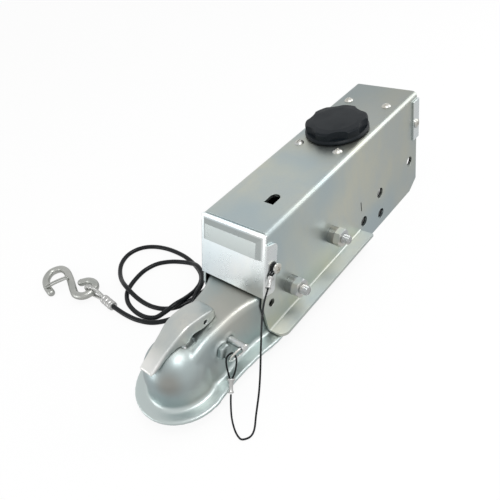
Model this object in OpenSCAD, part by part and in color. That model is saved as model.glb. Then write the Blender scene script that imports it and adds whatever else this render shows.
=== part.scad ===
// Surge brake actuator with a ball coupler head, for the front of a boat trailer's tongue.
// X runs forward to the nose, Y to the left, Z up. The walls' lower edges stand on z = 0.

/* [Case] */
// Outer width of the folded case
case_w = 86; // [84:0.5:92]
// Length of the case's top
case_l = 300; // [290:1:330]
// Height of the case behind its flanges
case_h = 138.5; // [134:0.5:146]
// Thickness of the case's sheet
case_t = 4; // [3.5:0.25:4.5]
// Height of the upper face of the side flanges
flange_z = 27.3; // [26.5:0.1:30]
// How far each side flange stands out from the wall
flange_out = 18; // [15:0.5:20]
// Length of the side flanges, from the top front edge back
flange_l = 154; // [148:1:158]
// Forward lean of the front edge, in millimetres for each millimetre down
rake = 0.37; // [0.3:0.01:0.4]
// Diameter of the holes for the tongue bolts
tongue_hole_d = 13.5; // [12:0.5:15]
// Distance between the two rows of tongue bolts along the case
tongue_pitch_x = 77; // [70:1:84]
// Distance between the upper and lower tongue bolts
tongue_pitch_z = 32; // [28:1:36]

/* [Covers] */
// Thickness of the front and rear cover sheets
cover_t = 2; // [1.5:0.25:2.5]
// Gap between the front cover's lower edge and the head's flat top
cover_gap = 3.8; // [2:0.2:8]
// Width of the tabs that fold back over the walls
tab_w = 14; // [12:0.5:18]
// Diameter of the pan screws in the tabs
tab_screw_d = 6; // [5:0.5:8]
// Height of the raised panel on the front cover
panel_rise = 4.5; // [1:0.5:6]

/* [Coupler head] */
// Diameter of the hitch ball that the socket takes
ball_d = 58.74; // [50.8:0.01:60.5]
// Gap between the ball and the socket
ball_gap = 0.6; // [0.4:0.1:1]
// Wall of the pressed head
head_t = 4.5; // [4:0.25:5]
// Distance from the case's top front edge to the ball's centre
ball_reach = 119.5; // [118:0.5:135]
// Height of the ball's centre
ball_z = 39.5; // [39:0.5:41]
// Radius of the flange round the nose
nose_r = 51; // [48:0.5:55]
// Height of the upper face of the head's flange
head_flange_z = 21.5; // [21:0.1:21.7]
// Height of the flat top of the head
head_top_z = 69; // [67:0.5:70]
// Travel of the head into the case when the brakes are pushed on
surge = 30; // [20:1:30]
// Gap between the sliding head and the case's inner walls
slide_gap = 0.8; // [0.5:0.1:1]

/* [Rollers and axles] */
// Diameter of the axle studs
axle_d = 12; // [10:0.5:12.5]
// Outer diameter of the rollers
roller_d = 15.4; // [14.5:0.1:16]
// Distance of the front axle behind the case's top front edge
front_axle_x = 15.5; // [14:0.5:17]
// Distance between the two axles
axle_pitch = 80.5; // [76:0.5:84]
// Width across the flats of the nuts
nut_af = 19; // [17:0.5:21]
// Thickness of the nuts
nut_h = 8; // [7:0.5:12]
// Length of thread that stands out of each nut
stud_end = 7.5; // [5:0.5:14]
// Diameter of the threaded ends
thread_d = 11; // [9:0.5:12]
// Thickness of the spacing washers under the nuts
washer_t = 8.5; // [5:0.5:10]

/* [Latch] */
// Length of the handle
lever_l = 87; // [84:1:92]
// Wall of the handle
lever_t = 3; // [2.5:0.1:3.2]
// Diameter of the latch bolt
latch_bolt_d = 9.5; // [8:0.25:10]
// Diameter of the safety pin
pin_d = 8; // [6.5:0.25:8.5]
// Length of the safety pin inside the head's side
pin_in = 22; // [18:0.5:26]
// Length of the safety pin outside the head's side
pin_out = 21; // [17:0.5:24]
// Mean diameter of the ring in the safety pin
ring_d = 24; // [18:0.5:26]

/* [Master cylinder] */
// Bore of the master cylinder
bore_d = 22.2; // [19:0.1:24]
// Diameter of the filler cap
cap_d = 72; // [66:1:76]
// Height of the filler cap
cap_h = 14; // [10:0.5:18]
// Number of finger recesses round the filler cap
cap_lobes = 6; // [5:1:8]

/* [Cables and hook] */
// Diameter of the breakaway cable over its black coat
cable_d = 6; // [5:0.5:6]
// Diameter of the lanyard
lanyard_d = 2; // [1.5:0.1:2.2]
// Diameter of the hook's bar
hook_d = 10; // [9:0.5:10]

/* [Hidden] */

// Clearances: a running fit, a loose gap, and a seat that only just does not touch.
fit = 0.05;
gap = 0.3;
seat = 0.2;
// Overshoot of a cutting shape
cut = 1;

// Anchors along X: the box of the part is centred on the origin.
front_x = (case_l + seat + cover_t - ball_reach - nose_r) / 2;
rear_x = front_x - case_l;
ball_x = front_x + ball_reach;
half_w = case_w / 2;
in_w = half_w - case_t;
slide_w = in_w - slide_gap;
bend_r = 6;
flange_bend = 2.5;
flange_edge = half_w + flange_out;
flange_rear_x = front_x - flange_l;
rake_top = case_h - 60.5;
front_low_x = front_x + rake * rake_top;
rake_angle = atan(rake);

// Axles
front_axle_z = flange_z + 31.2;
rear_axle_z = flange_z + 37.2;
axle_fx = front_x - front_axle_x;
axle_rx = axle_fx - axle_pitch;
washer_d = nut_af + 1;
roller_w = in_w - gap;
slot_h = roller_d + 2 * gap;

// Coupler head
socket_r = ball_d / 2 + ball_gap;
dome_r = socket_r + head_t;
channel_top_z = head_top_z + 11.5;
joint_x = front_x - 30;
head_flange_t = head_t;
head_flange_under = head_flange_z - head_flange_t;
latch_x = ball_x - 36;
latch_z = ball_z + 8.5;
boss_y = dome_r - 2.4;
boss_r = 8.7;
pin_x = latch_x - 13;
pin_z = ball_z + 11;
pin_boss_y = dome_r - 3.4;
pin_tip_y = pin_boss_y - pin_in;
pin_end_y = pin_boss_y + pin_out;
ring_wire = 2.4;

// Latch handle: its pivot lugs stand on the front of the dome.
pivot_x = ball_x + 23.6;
pivot_z = ball_z + 27.9;
lug_r = 2.9;
line_r = 9;
lug_t = 2;
rib_r = 3.6;
rib_w = 4.8;
lever_pin_d = 4;
lever_rear_x = pivot_x + 7.5 - lever_l;
lobe_x = ball_x - 14;

// Master cylinder
cyl_z = channel_top_z + 14;
cyl_r = bore_d / 2 + 5;
cap_x = rear_x + 113;
cyl_front_x = cap_x + 41;
cyl_rear_x = cap_x - 75;
screw_front_x = cap_x + 40;
screw_rear_x = cap_x - 68;
screw_y = in_w - 13;
neck_r = 21;
neck_bore_r = 17;
reservoir_h = 30;
piston_x = cyl_front_x - 6;
rod_r = 5;
bracket_x = axle_rx - 16;
channel_rear_x = bracket_x - 2;

// Tabs and tongue holes
tab_screw_z = case_h - 40;
cover_s = (case_h - head_top_z - cover_gap) / cos(rake_angle);
tongue_rear_x = rear_x + 19;
tongue_z = case_h - 89.5;

// Breakaway lever
breakaway_x = bracket_x + 24;
breakaway_z = channel_top_z + 23;
toe_z = channel_top_z + 4;
breakaway_y = -20;
cable_y = -12;
cable_in_z = case_h - 16.5;
grommet_x = 26;

// Routes of the cables, hand-chosen points at rest
cable_points = [
    [-28, cable_y, cable_in_z], [-14, cable_y, cable_in_z], [-3, -12.5, cable_in_z], [9, -16, cable_in_z],
    [19, -23, cable_in_z], [24.5, -30, cable_in_z], [26, -36, cable_in_z], [26, -46, cable_in_z], [26, -54, 120], [27, -63, 113], [29, -69, 101], [31, -72, 86], [33, -73, 70],
    [35, -74, 54], [38, -75, 38], [45, -77, 22], [57, -80, 9], [74, -83, 3.5], [93, -87, 3],
    [109, -94, 3], [121, -107, 3], [127, -126, 3], [128, -150, 5], [124, -177, 9.5], [115, -202, 5],
    [102, -221, 3], [88, -231, 3], [73, -233.5, 3], [58, -227, 3], [47, -212, 3], [40.5, -190, 3],
    [39, -164, 3], [41.5, -142, 3], [48, -120, 3], [56, -106, 3], [66, -98, 3], [79, -94.5, 3],
    [96, -93.5, 6], [112, -94.5, 9.5], [126, -99, 7], [137, -107, 3], [143, -119, 3], [144, -136, 3],
    [140.5, -154, 3], [134, -167, 3], [124.5, -176.5, 3], [108.5, -183, 3], [88.5, -185.5, 3],
    [71, -180, 3], [59, -168, 3], [50.5, -152, 3], [46.5, -134, 5], [49, -117, 9.5], [57, -101, 9.5],
    [69, -90, 9.5], [84, -84, 9.5], [102, -81, 5], [119, -83, 3], [133, -91, 3], [145, -105, 3],
    [152, -125, 3.5], [154.5, -146, 4.5], [154.5, -168, 6]];
sleeve_a = [154.5, -168, 6];
sleeve_b = [151.5, -200, 7];
hook_points = [
    [184, -272, 5], [180, -289, 5], [172, -303, 5], [160, -309, 5], [149, -303, 5], [147, -290, 5.5],
    [152, -273, 6.5], [159, -256, 8], [166, -240, 9], [169.5, -228, 10.3], [166, -217, 10.5],
    [157, -212.5, 10.5], [147, -215, 10.5], [142.5, -224, 10.3], [144, -234.5, 9.8], [151, -242.5, 9.3]];
rope_points = [
    [151.3, -201, 10], [152, -205, 15], [153.4, -212, 18.2], [154.6, -219, 17.2], [155.2, -223.4, 12.4],
    [155, -223, 7], [154.2, -217.5, 3.2], [153, -209, 2.6], [151.8, -201, 4.5]];
gate_points = [[157.5, -263.5, 13.8], [169, -270, 13.3], [178.5, -276.5, 11.5], [183.5, -279.5, 11.2]];
lanyard_points = [
    [88.6, 51.6, 92.2], [93, 53.5, 91.5], [99, 56, 90.5], [108, 60, 88], [121, 67, 82], [138, 77, 71], [152, 84, 56],
    [164, 88.5, 41], [176, 90.5, 23], [184, 91, 8], [190, 89, 1.6], [196, 84, 1], [195.5, 78, 1],
    [191.5, 70, 1.2], [185, 62, 4.5], [177.8, 57, 12.5], [172.2, 54.3, 19.8]];
lower_ferrule = [[162.3, 48.9, 30.1], [171.4, 53.8, 20.9]];
lower_eye_points = [
    [163.2, 47.7, 29.2], [160.4, 44.6, 33.8], [157, 40.9, 39.3], [153.6, 39, 43.6], [150.4, 39.1, 45.9], [146.5, 41.1, 46.9],
    [145.9, 44, 44.8], [147.6, 46.5, 41.2], [151.5, 48.1, 36.7], [156.4, 49.3, 32.6], [161.8, 50, 30]];

// Unit vector
function unit(v) = v / norm(v);
// One point on a smooth curve through four neighbouring points
function curve_point(a, b, c, d, t) =
    0.5 * (2 * b + (c - a) * t + (2 * a - 5 * b + 4 * c - d) * t * t + (3 * b - a - 3 * c + d) * t * t * t);
// A smooth route through points, with k steps between neighbours
function route(p, k) = [
    for (i = [0 : len(p) - 2], j = [0 : k - 1])
        curve_point(p[max(i - 1, 0)], p[i], p[i + 1], p[min(i + 2, len(p) - 1)], j / k),
    p[len(p) - 1]];
// Directions along a route, and a sideways direction carried along it without twist
function directions(p) = [for (i = [0 : len(p) - 1]) unit(p[min(i + 1, len(p) - 1)] - p[max(i - 1, 0)])];
function carried(t, s) = [
    for (i = 0, u = unit(s - t[0] * (s * t[0])); i < len(t);
         i = i + 1, u = i < len(t) ? unit(u - t[i] * (u * t[i])) : u) u];
// A round bar or cord along a route
module tube(p, r, sides = 8, side = [0.13, 0.21, 1]) {
    t = directions(p);
    u = carried(t, side);
    n = len(p);
    points = [for (i = [0 : n - 1], k = [0 : sides - 1])
        p[i] + r * (u[i] * cos(360 * k / sides) + cross(t[i], u[i]) * sin(360 * k / sides))];
    faces = concat(
        [[for (k = [0 : sides - 1]) k]],
        [[for (k = [sides - 1 : -1 : 0]) (n - 1) * sides + k]],
        [for (i = [0 : n - 2], k = [0 : sides - 1])
            [i * sides + (k + 1) % sides, i * sides + k, (i + 1) * sides + k,
             (i + 1) * sides + (k + 1) % sides]]);
    polyhedron(points, faces, convexity = 6);
}
// Points of an arc about a centre
function arc(c, r, a, b, n) = [for (i = [0 : n]) c + r * [cos(a + (b - a) * i / n), sin(a + (b - a) * i / n)]];
// The same outline on the other side of the vertical axis, in reverse order
function mirrored(p) = [for (i = [len(p) - 1 : -1 : 0]) [-p[i][0], p[i][1]]];
// Value from a table of [x, a, b, c ...] rows by a smooth curve through its rows
function row_at(table, x) = let (
    n = len(table),
    k = max([for (i = [0 : n - 2]) table[i][0] <= x ? i : 0]),
    t = (x - table[k][0]) / (table[k + 1][0] - table[k][0]))
    curve_point(table[max(k - 1, 0)], table[k], table[k + 1], table[min(k + 2, n - 1)], t);
// A solid skinned over sections that stand at places along X
module loft(xs, sections) {
    m = len(sections[0]);
    n = len(xs);
    points = [for (i = [0 : n - 1], k = [0 : m - 1]) [xs[i], sections[i][k][0], sections[i][k][1]]];
    faces = concat(
        [[for (k = [0 : m - 1]) k]],
        [[for (k = [m - 1 : -1 : 0]) (n - 1) * m + k]],
        [for (i = [0 : n - 2], k = [0 : m - 1]) each [
            [i * m + k, (i + 1) * m + k, i * m + (k + 1) % m],
            [i * m + (k + 1) % m, (i + 1) * m + k, (i + 1) * m + (k + 1) % m]]]);
    polyhedron(points, faces, convexity = 8);
}
// A bar along Y
module bar_y(x, z, r, y0, y1, fn = 48) {
    translate([x, y1, z]) rotate([90, 0, 0]) cylinder(r = r, h = y1 - y0, $fn = fn);
}
// A bar along X
module bar_x(y, z, r, x0, x1, fn = 48) {
    translate([x0, y, z]) rotate([0, 90, 0]) cylinder(r = r, h = x1 - x0, $fn = fn);
}
// A slot through Y, from x0 to x1 at its round ends' centres
module slot_y(x0, x1, z, h, y0, y1) {
    bar_y(x0, z, h / 2, y0, y1);
    bar_y(x1, z, h / 2, y0, y1);
    translate([x0, y0, z - h / 2]) cube([x1 - x0, y1 - y0, h]);
}
// A flat outline in X and Z, given thickness along Y
module plate_y(y0, y1) {
    translate([0, y1, 0]) rotate([90, 0, 0]) linear_extrude(y1 - y0) children();
}
// A section in Y and Z, drawn out along X
module section_x(x0, x1) {
    translate([x0, 0, 0]) rotate([90, 0, 90]) linear_extrude(x1 - x0) children();
}

// Half of a folded hat section: top, bend, wall, bend and flange
function hat_half(w, top, t, fz, edge, r_top, r_low) = concat(
    [[edge, fz - t], [edge, fz]],
    arc([w + r_low, fz + r_low], r_low, 270, 180, 6),
    arc([w - r_top, top - r_top], r_top, 0, 90, 6));
function hat_inner(w, top, t, fz, r_top, r_low) = concat(
    arc([w - r_top, top - r_top], r_top - t, 90, 0, 6),
    arc([w + r_low, fz + r_low], r_low + t, 180, 270, 6));
module hat_section(w, top, t, fz, edge, r_top, r_low) {
    outer = hat_half(w, top, t, fz, edge, r_top, r_low);
    inner = hat_inner(w, top, t, fz, r_top, r_low);
    polygon(concat(outer, mirrored(outer), mirrored(inner), inner));
}
module u_section(w, top, t, r) {
    outer = concat([[w, 0]], arc([w - r, top - r], r, 0, 90, 6));
    inner = concat(arc([w - r, top - r], r - t, 90, 0, 6), [[w - t, 0]]);
    polygon(concat(outer, mirrored(outer), mirrored(inner), inner));
}

// The case: one folded sheet, open below and behind, with its front edge leaning forward
module case_side_outline() {
    polygon([
        [rear_x, case_h + cut], [front_x - rake * cut, case_h + cut], [front_low_x, case_h - rake_top],
        [front_low_x, flange_z + 8], [front_low_x - 2, flange_z - case_t - cut],
        [flange_rear_x, flange_z - case_t - cut], [flange_rear_x - 3, 0], [rear_x + 18, 0], [rear_x, 11.5]]);
}
module flange_corner_cut(side) {
    r = 9;
    translate([front_low_x - 2 - r, side * (flange_edge - r), 0]) difference() {
        translate([0, side > 0 ? 0 : -2 * r, 0]) cube([3 * r, 2 * r, flange_z + cut]);
        translate([0, 0, -cut]) cylinder(r = r, h = flange_z + 3 * cut, $fn = 48);
    }
}
module outer_case() {
    color("lightsteelblue") difference() {
        intersection() {
            union() {
                section_x(flange_rear_x, front_low_x + cut)
                    hat_section(half_w, case_h, case_t, flange_z, flange_edge, bend_r, flange_bend);
                section_x(rear_x, flange_rear_x) u_section(half_w, case_h, case_t, bend_r);
            }
            plate_y(-flange_edge - cut, flange_edge + cut) case_side_outline();
        }
        flange_corner_cut(1);
        flange_corner_cut(-1);
        // D-shaped hole in the top
        translate([front_x - 49, 13.5, case_h - case_t - cut]) {
            cylinder(r = 6, h = case_t + 2 * cut, $fn = 48);
            translate([0, -6, 0]) cube([10.5, 12, case_t + 2 * cut]);
        }
        // Neck hole and screw holes in the top
        translate([cap_x, 0, case_h - case_t - cut]) cylinder(r = neck_r + gap, h = case_t + 2 * cut, $fn = 64);
        for (x = [screw_front_x, screw_rear_x], y = [-screw_y, screw_y])
            translate([x, y, case_h - case_t - cut]) cylinder(d = 6.2, h = case_t + 2 * cut, $fn = 32);
        // Axle holes
        bar_y(axle_fx, front_axle_z, axle_d / 2 + fit, -half_w - cut, half_w + cut);
        bar_y(axle_rx, rear_axle_z, axle_d / 2 + fit, -half_w - cut, half_w + cut);
        // Tongue bolt holes
        for (p = tongue_holes()) bar_y(p[0], p[1], tongue_hole_d / 2, -half_w - cut, half_w + cut);
        // Slit, front hole and tab screw holes
        translate([front_x - 161, -half_w - cut, case_h - 88]) cube([1.8, case_w + 2 * cut, 14]);
        bar_y(front_x + 15.9, case_h - 80, 4.5, -half_w - cut, half_w + cut);
        for (x = [tab_hole_x(), rear_x + 6]) bar_y(x, tab_screw_z, tab_screw_d / 2 + fit, -half_w - cut, half_w + cut);
        // Cable grommet hole in the right wall
        bar_y(grommet_x, cable_in_z, 6.5, -half_w - cut, -in_w + cut);
        // Breakaway pivot hole in the right wall
        bar_y(breakaway_x, breakaway_z, 4 + fit, -half_w - cut, -in_w + cut);
    }
}
function tongue_holes() = [
    [tongue_rear_x, tongue_z], [tongue_rear_x + tongue_pitch_x, tongue_z],
    [tongue_rear_x + tongue_pitch_x, tongue_z - tongue_pitch_z],
    [tongue_rear_x + tongue_pitch_x + 40, tongue_z - tongue_pitch_z / 2]];
function tab_hole_x() = front_x + rake * (case_h - tab_screw_z) - 12;
function tab_hole_down() = (case_h - tab_screw_z) * cos(rake_angle) + (tab_hole_x() - front_x) * sin(rake_angle);
function tab_hole_back() = (tab_hole_x() - front_x) * cos(rake_angle) - (case_h - tab_screw_z) * sin(rake_angle);

// The front cover lies on the leaning front edges. In its own frame X is outward, Z is down the slope.
module on_front_slope() {
    translate([front_x, 0, case_h]) rotate([0, 180 - rake_angle, 0]) mirror([1, 0, 0]) children();
}
module cover_plate_outline() {
    w = half_w + cover_t;
    polygon(concat([[w, cover_s]], [[w, bend_r + 1]], arc([w - bend_r, bend_r + 1], bend_r, 0, -90, 6),
        arc([-(w - bend_r), bend_r + 1], bend_r, -90, -180, 6), [[-w, cover_s]]));
}
module cover_tab(side) {
    r_out = 3;
    y0 = half_w + seat;
    s0 = 12;
    s1 = cover_s - 3;
    corner = 5;
    intersection() {
        translate([0, 0, s0]) linear_extrude(s1 - s0) scale([1, side]) polygon(concat(
            [[-tab_w, y0], [seat, y0], [seat, y0 - 1.5], [seat + cover_t, y0 - 1.5]],
            arc([seat + cover_t - r_out, y0 + cover_t - r_out], r_out, 0, 90, 5), [[-tab_w, y0 + cover_t]]));
        // Rounded corners at the tab's free edge
        translate([-tab_w - 0.01, -case_w, 0]) rotate([-90, 0, 0]) linear_extrude(2 * case_w) polygon(concat(
            [[2 * tab_w, -s0], [2 * tab_w, -s1]],
            arc([corner, -s1 + corner], corner, 270, 180, 5), arc([corner, -s0 - corner], corner, 180, 90, 5)));
    }
}
module raised_panel(rise, inset) {
    top_s = 5 + inset;
    low_s = 0.42 * cover_s - inset;
    y_out = half_w - 3 - inset;
    bevel = 5.5;
    low_bevel = 2;
    translate([seat + cover_t - 0.01 - inset, 0, 0]) hull() {
        translate([0, -y_out, top_s]) cube([0.01, 2 * y_out, low_s - top_s]);
        translate([rise, -y_out + bevel, top_s + bevel])
            cube([0.01, 2 * (y_out - bevel), low_s - top_s - bevel - low_bevel]);
    }
}
module front_cover() {
    color("gainsboro") on_front_slope() difference() {
        union() {
            translate([seat, 0, 0]) rotate([90, 0, 90]) linear_extrude(cover_t) intersection() {
                cover_plate_outline();
                translate([-half_w, 0]) square([case_w, cover_s]);
            }
            cover_tab(1);
            cover_tab(-1);
            raised_panel(panel_rise, 0);
        }
        raised_panel(panel_rise, cover_t);
        translate([tab_hole_back(), 0, tab_hole_down()]) rotate([90, 0, 0])
            cylinder(d = tab_screw_d + 2 * gap, h = 2 * case_w, center = true, $fn = 32);
    }
}
// The rear cover closes the case above the tongue
module rear_cover() {
    z0 = case_h - 62;
    z1 = case_h - case_t - 2;
    color("gainsboro") difference() {
        union() {
            translate([rear_x - seat - cover_t, -half_w - seat - cover_t, z0]) cube([cover_t, case_w + 2 * (seat + cover_t), z1 - z0 - 3]);
            translate([rear_x - seat - cover_t, -half_w + 6, z0]) cube([cover_t, case_w - 12, z1 - z0 + 3]);
            for (side = [-1, 1]) translate([rear_x - seat - cover_t, side > 0 ? half_w + seat : -half_w - seat - cover_t, z0])
                cube([tab_w, cover_t, z1 - z0 - 3]);
        }
        for (side = [-1, 1]) bar_y(rear_x + 6, tab_screw_z, tab_screw_d / 2 + gap, side * half_w - 6, side * half_w + 6);
        // Notch for the brake line
        bar_x(0, cyl_z, line_r, rear_x - 9, rear_x + cut);
        translate([rear_x - 9, -line_r, z0 - cut]) cube([9 + cut, 2 * line_r, cyl_z - z0 + cut]);
    }
}
// A pan screw along Y, with its head outside
module pan_screw(x, z, side, base_y, shank) {
    translate([x, side * base_y, z]) rotate([side > 0 ? -90 : 90, 0, 0]) difference() {
        union() {
            translate([0, 0, -shank]) cylinder(d = tab_screw_d, h = shank, $fn = 32);
            rotate_extrude($fn = 40) intersection() {
                translate([0, -7.4]) circle(r = 10.6, $fn = 80);
                square([tab_screw_d * 0.95, 6]);
            }
        }
        for (a = [0, 90]) rotate([0, 0, a]) translate([-3, -0.5, 1.9]) cube([6, 1, 3]);
    }
}
module front_cover_screws() {
    color("silver") {
        pan_screw(tab_hole_x(), tab_screw_z, 1, half_w + seat + cover_t + lanyard_d + 0.6, 13);
        pan_screw(tab_hole_x(), tab_screw_z, -1, half_w + seat + cover_t, 10);
    }
}
module rear_cover_screws() {
    color("silver") for (side = [-1, 1]) pan_screw(rear_x + 6, tab_screw_z, side, half_w + seat + cover_t, 10);
}
module top_screws() {
    color("silver") for (x = [screw_front_x, screw_rear_x], y = [-screw_y, screw_y]) translate([x, y, case_h]) difference() {
        union() {
            translate([0, 0, -14]) cylinder(d = 5.8, h = 14, $fn = 32);
            rotate_extrude($fn = 40) intersection() {
                translate([0, -3.6]) circle(r = 6.8, $fn = 80);
                square([5.6, 6]);
            }
        }
        translate([-6, -0.6, 1.9]) cube([12, 1.2, 3]);
    }
}

// Reservoir and cylinder are one casting, hung from the top by four screws
module reservoir_body() {
    top = case_h - case_t;
    w = in_w - 5;
    color("silver") difference() {
        union() {
            translate([cyl_rear_x - 2, -w, top - reservoir_h]) cube([cyl_front_x + 8 - cyl_rear_x, 2 * w, reservoir_h]);
            bar_x(0, cyl_z, cyl_r, cyl_rear_x, cyl_front_x, 64);
            translate([cyl_rear_x + 4, -9, cyl_z]) cube([cyl_front_x - cyl_rear_x - 8, 18, top - cyl_z - 8]);
            translate([cap_x, 0, top - 2]) cylinder(r = neck_r, h = case_t + 3, $fn = 64);
        }
        // Bore, open in front, with a fluid port at its blind end
        bar_x(0, cyl_z, bore_d / 2, cyl_rear_x + 12, cyl_front_x + cut, 64);
        bar_x(0, cyl_z, 4, cyl_rear_x - cut, cyl_rear_x + 12 + cut, 32);
        // Groove of the retaining ring
        bar_x(0, cyl_z, bore_d / 2 + 1.2, cyl_front_x - 4, cyl_front_x - 2.4, 64);
        // Fluid space and filler neck
        translate([cyl_rear_x + 14, -w + 12, top - reservoir_h + 8]) cube([cyl_front_x - cyl_rear_x - 22, 2 * w - 24, reservoir_h - 12]);
        translate([cap_x, 0, top - 12]) cylinder(r = neck_bore_r, h = 20, $fn = 64);
        translate([cap_x, 0, cyl_z]) cylinder(r = 1.2, h = 14, $fn = 24);
        for (x = [screw_front_x, screw_rear_x], y = [-screw_y, screw_y]) translate([x, y, top - 11]) cylinder(d = 6, h = 12, $fn = 32);
    }
}
module filler_cap() {
    r = cap_d / 2;
    base = case_h + 1.6;
    recess_r = 26;
    color([0.09, 0.09, 0.1]) difference() {
        union() {
            translate([cap_x, 0, base]) rotate_extrude($fn = 96) polygon(concat(
                [[0, 0], [r + 1, 0], [r + 1, 1.6], [r - 0.6, 3.4]],
                arc([r - 3, cap_h - 4.6], 3, 0, 90, 5), [[r - 10, cap_h - 1], [0, cap_h - 0.6]]));
            translate([cap_x, 0, case_h - 8]) cylinder(r = neck_bore_r - gap, h = 10, $fn = 64);
        }
        translate([cap_x, 0, case_h - 9]) cylinder(r = neck_bore_r - 3, h = 14, $fn = 64);
        for (i = [0 : cap_lobes - 1]) rotate_about(cap_x, 360 * (i + 0.58) / cap_lobes)
            translate([r + recess_r - 4.7, 0, base + 4.2]) cylinder(r1 = recess_r - 0.4, r2 = recess_r + 1.2, h = cap_h, $fn = 64);
    }
}
module rotate_about(x, a) {
    translate([x, 0, 0]) rotate([0, 0, a]) children();
}
module filler_seal() {
    color([0.05, 0.05, 0.05]) translate([cap_x, 0, case_h + 1.2]) difference() {
        cylinder(r = neck_r, h = 0.4, $fn = 64);
        translate([0, 0, -cut]) cylinder(r = neck_bore_r + 0.2, h = 3, $fn = 64);
    }
}

// Axles, nuts, washers and rollers
module axle(x, z) {
    y = half_w + washer_t + nut_h + stud_end;
    shoulder = half_w - seat;
    chamfer = 1.2;
    r = axle_d / 2;
    end_r = thread_d / 2;
    translate([x, 0, z]) rotate([90, 0, 0]) rotate_extrude($fn = 48) polygon([
        [0, -y], [end_r - chamfer, -y], [end_r, -y + chamfer], [end_r, -shoulder], [r, -shoulder],
        [r, shoulder], [end_r, shoulder], [end_r, y - chamfer], [end_r - chamfer, y], [0, y]]);
}
module hex_nut(x, z, side, y0) {
    flat_r = nut_af / 2 / cos(30);
    translate([x, side * y0, z]) rotate([side > 0 ? -90 : 90, 0, 0]) difference() {
        intersection() {
            cylinder(r = flat_r, h = nut_h, $fn = 6);
            rotate_extrude($fn = 48) polygon([
                [0, 0], [flat_r - 0.7, 0], [flat_r, 0.7], [flat_r, nut_h - 1.2], [flat_r - 1.4, nut_h], [0, nut_h]]);
        }
        translate([0, 0, -cut]) cylinder(r = thread_d / 2 + fit, h = nut_h + 2 * cut, $fn = 48);
    }
}
module front_axle() { color("silver") axle(axle_fx, front_axle_z); }
module rear_axle() { color("silver") axle(axle_rx, rear_axle_z); }
module front_axle_nuts() {
    color("silver") for (side = [-1, 1]) hex_nut(axle_fx, front_axle_z, side, half_w + washer_t);
}
module rear_axle_nuts() {
    color("silver") for (side = [-1, 1]) hex_nut(axle_rx, rear_axle_z, side, half_w + washer_t);
}
module axle_washers() {
    color("silver") for (p = [[axle_fx, front_axle_z], [axle_rx, rear_axle_z]], side = [-1, 1])
        translate([p[0], side * half_w, p[1]]) rotate([side > 0 ? -90 : 90, 0, 0]) rotate_extrude($fn = 64) polygon([
            [thread_d / 2 + fit, 0], [washer_d / 2, 0], [washer_d / 2, washer_t - 0.6], [washer_d / 2 - 0.6, washer_t],
            [thread_d / 2 + fit, washer_t]]);
}
module roller(x, z) {
    difference() {
        bar_y(x, z, roller_d / 2, -roller_w, roller_w, 64);
        bar_y(x, z, axle_d / 2 + fit, -roller_w - cut, roller_w + cut);
    }
}
module front_roller() { color("dimgray") roller(axle_fx, front_axle_z); }
module rear_roller() { color("dimgray") roller(axle_rx, rear_axle_z); }

// Rows for the pressed head: place before the ball, half widths at the top and at the root, top height, corner
head_table = [
    [-150, slide_w, slide_w, channel_top_z, bend_r], [-112, slide_w, slide_w, channel_top_z, bend_r],
    [-107, slide_w, slide_w, channel_top_z - 2.5, bend_r], [-100, slide_w, slide_w, head_top_z + 2.6, 7],
    [-94, slide_w - 0.4, slide_w, head_top_z, 8], [-86, slide_w - 4.2, slide_w - 1.2, head_top_z, 9],
    [-74, slide_w - 7.7, slide_w - 3.7, head_top_z, 9], [-60, slide_w - 9.6, slide_w - 4.7, head_top_z, 9],
    [-40, dome_r - 6.5, dome_r - 0.5, head_top_z, 9], [-24, dome_r - 6.5, dome_r - 0.1, head_top_z, 9],
    [-12, dome_r - 6.1, dome_r - 1.3, head_top_z - 1.6, 9], [-2, dome_r - 6.3, dome_r - 3, head_top_z - 5, 9],
    [7, dome_r - 8, dome_r - 5, head_top_z - 10.5, 9], [15, dome_r - 11.5, dome_r - 8.5, head_top_z - 18, 9],
    [22, dome_r - 17, dome_r - 14.5, head_top_z - 27, 8], [24, dome_r - 18.5, dome_r - 16.5, head_top_z - 31, 7]];
foot_r = 4;
function head_section(x, inset) = let (
    q = row_at(head_table, x - ball_x),
    wt = q[1] - inset, wr = q[2] - inset, top = q[3] - inset, r = q[4] - inset * 0.6,
    foot = inset > 0 ? [[wr, head_flange_under - 2]] : concat(
        [[wr + foot_r, head_flange_under], [wr + foot_r, head_flange_z]],
        arc([wr + foot_r, head_flange_z + foot_r], foot_r, 250, 190, 2)),
    half = concat(foot, arc([wt - r, top - r], r, 5, 90, 5)))
    concat(half, mirrored(half));
module head_body(inset, x0, x1) {
    xs = concat([x0], [for (q = head_table, x = [ball_x + q[0]]) if (x > x0 + 1 && x < x1 - 1) x], [x1]);
    dense = [for (i = [0 : len(xs) - 2], t = [0, 0.5]) xs[i] + (xs[i + 1] - xs[i]) * t];
    stations = concat(dense, [x1]);
    loft(stations, [for (x = stations) head_section(x, inset)]);
}
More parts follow.
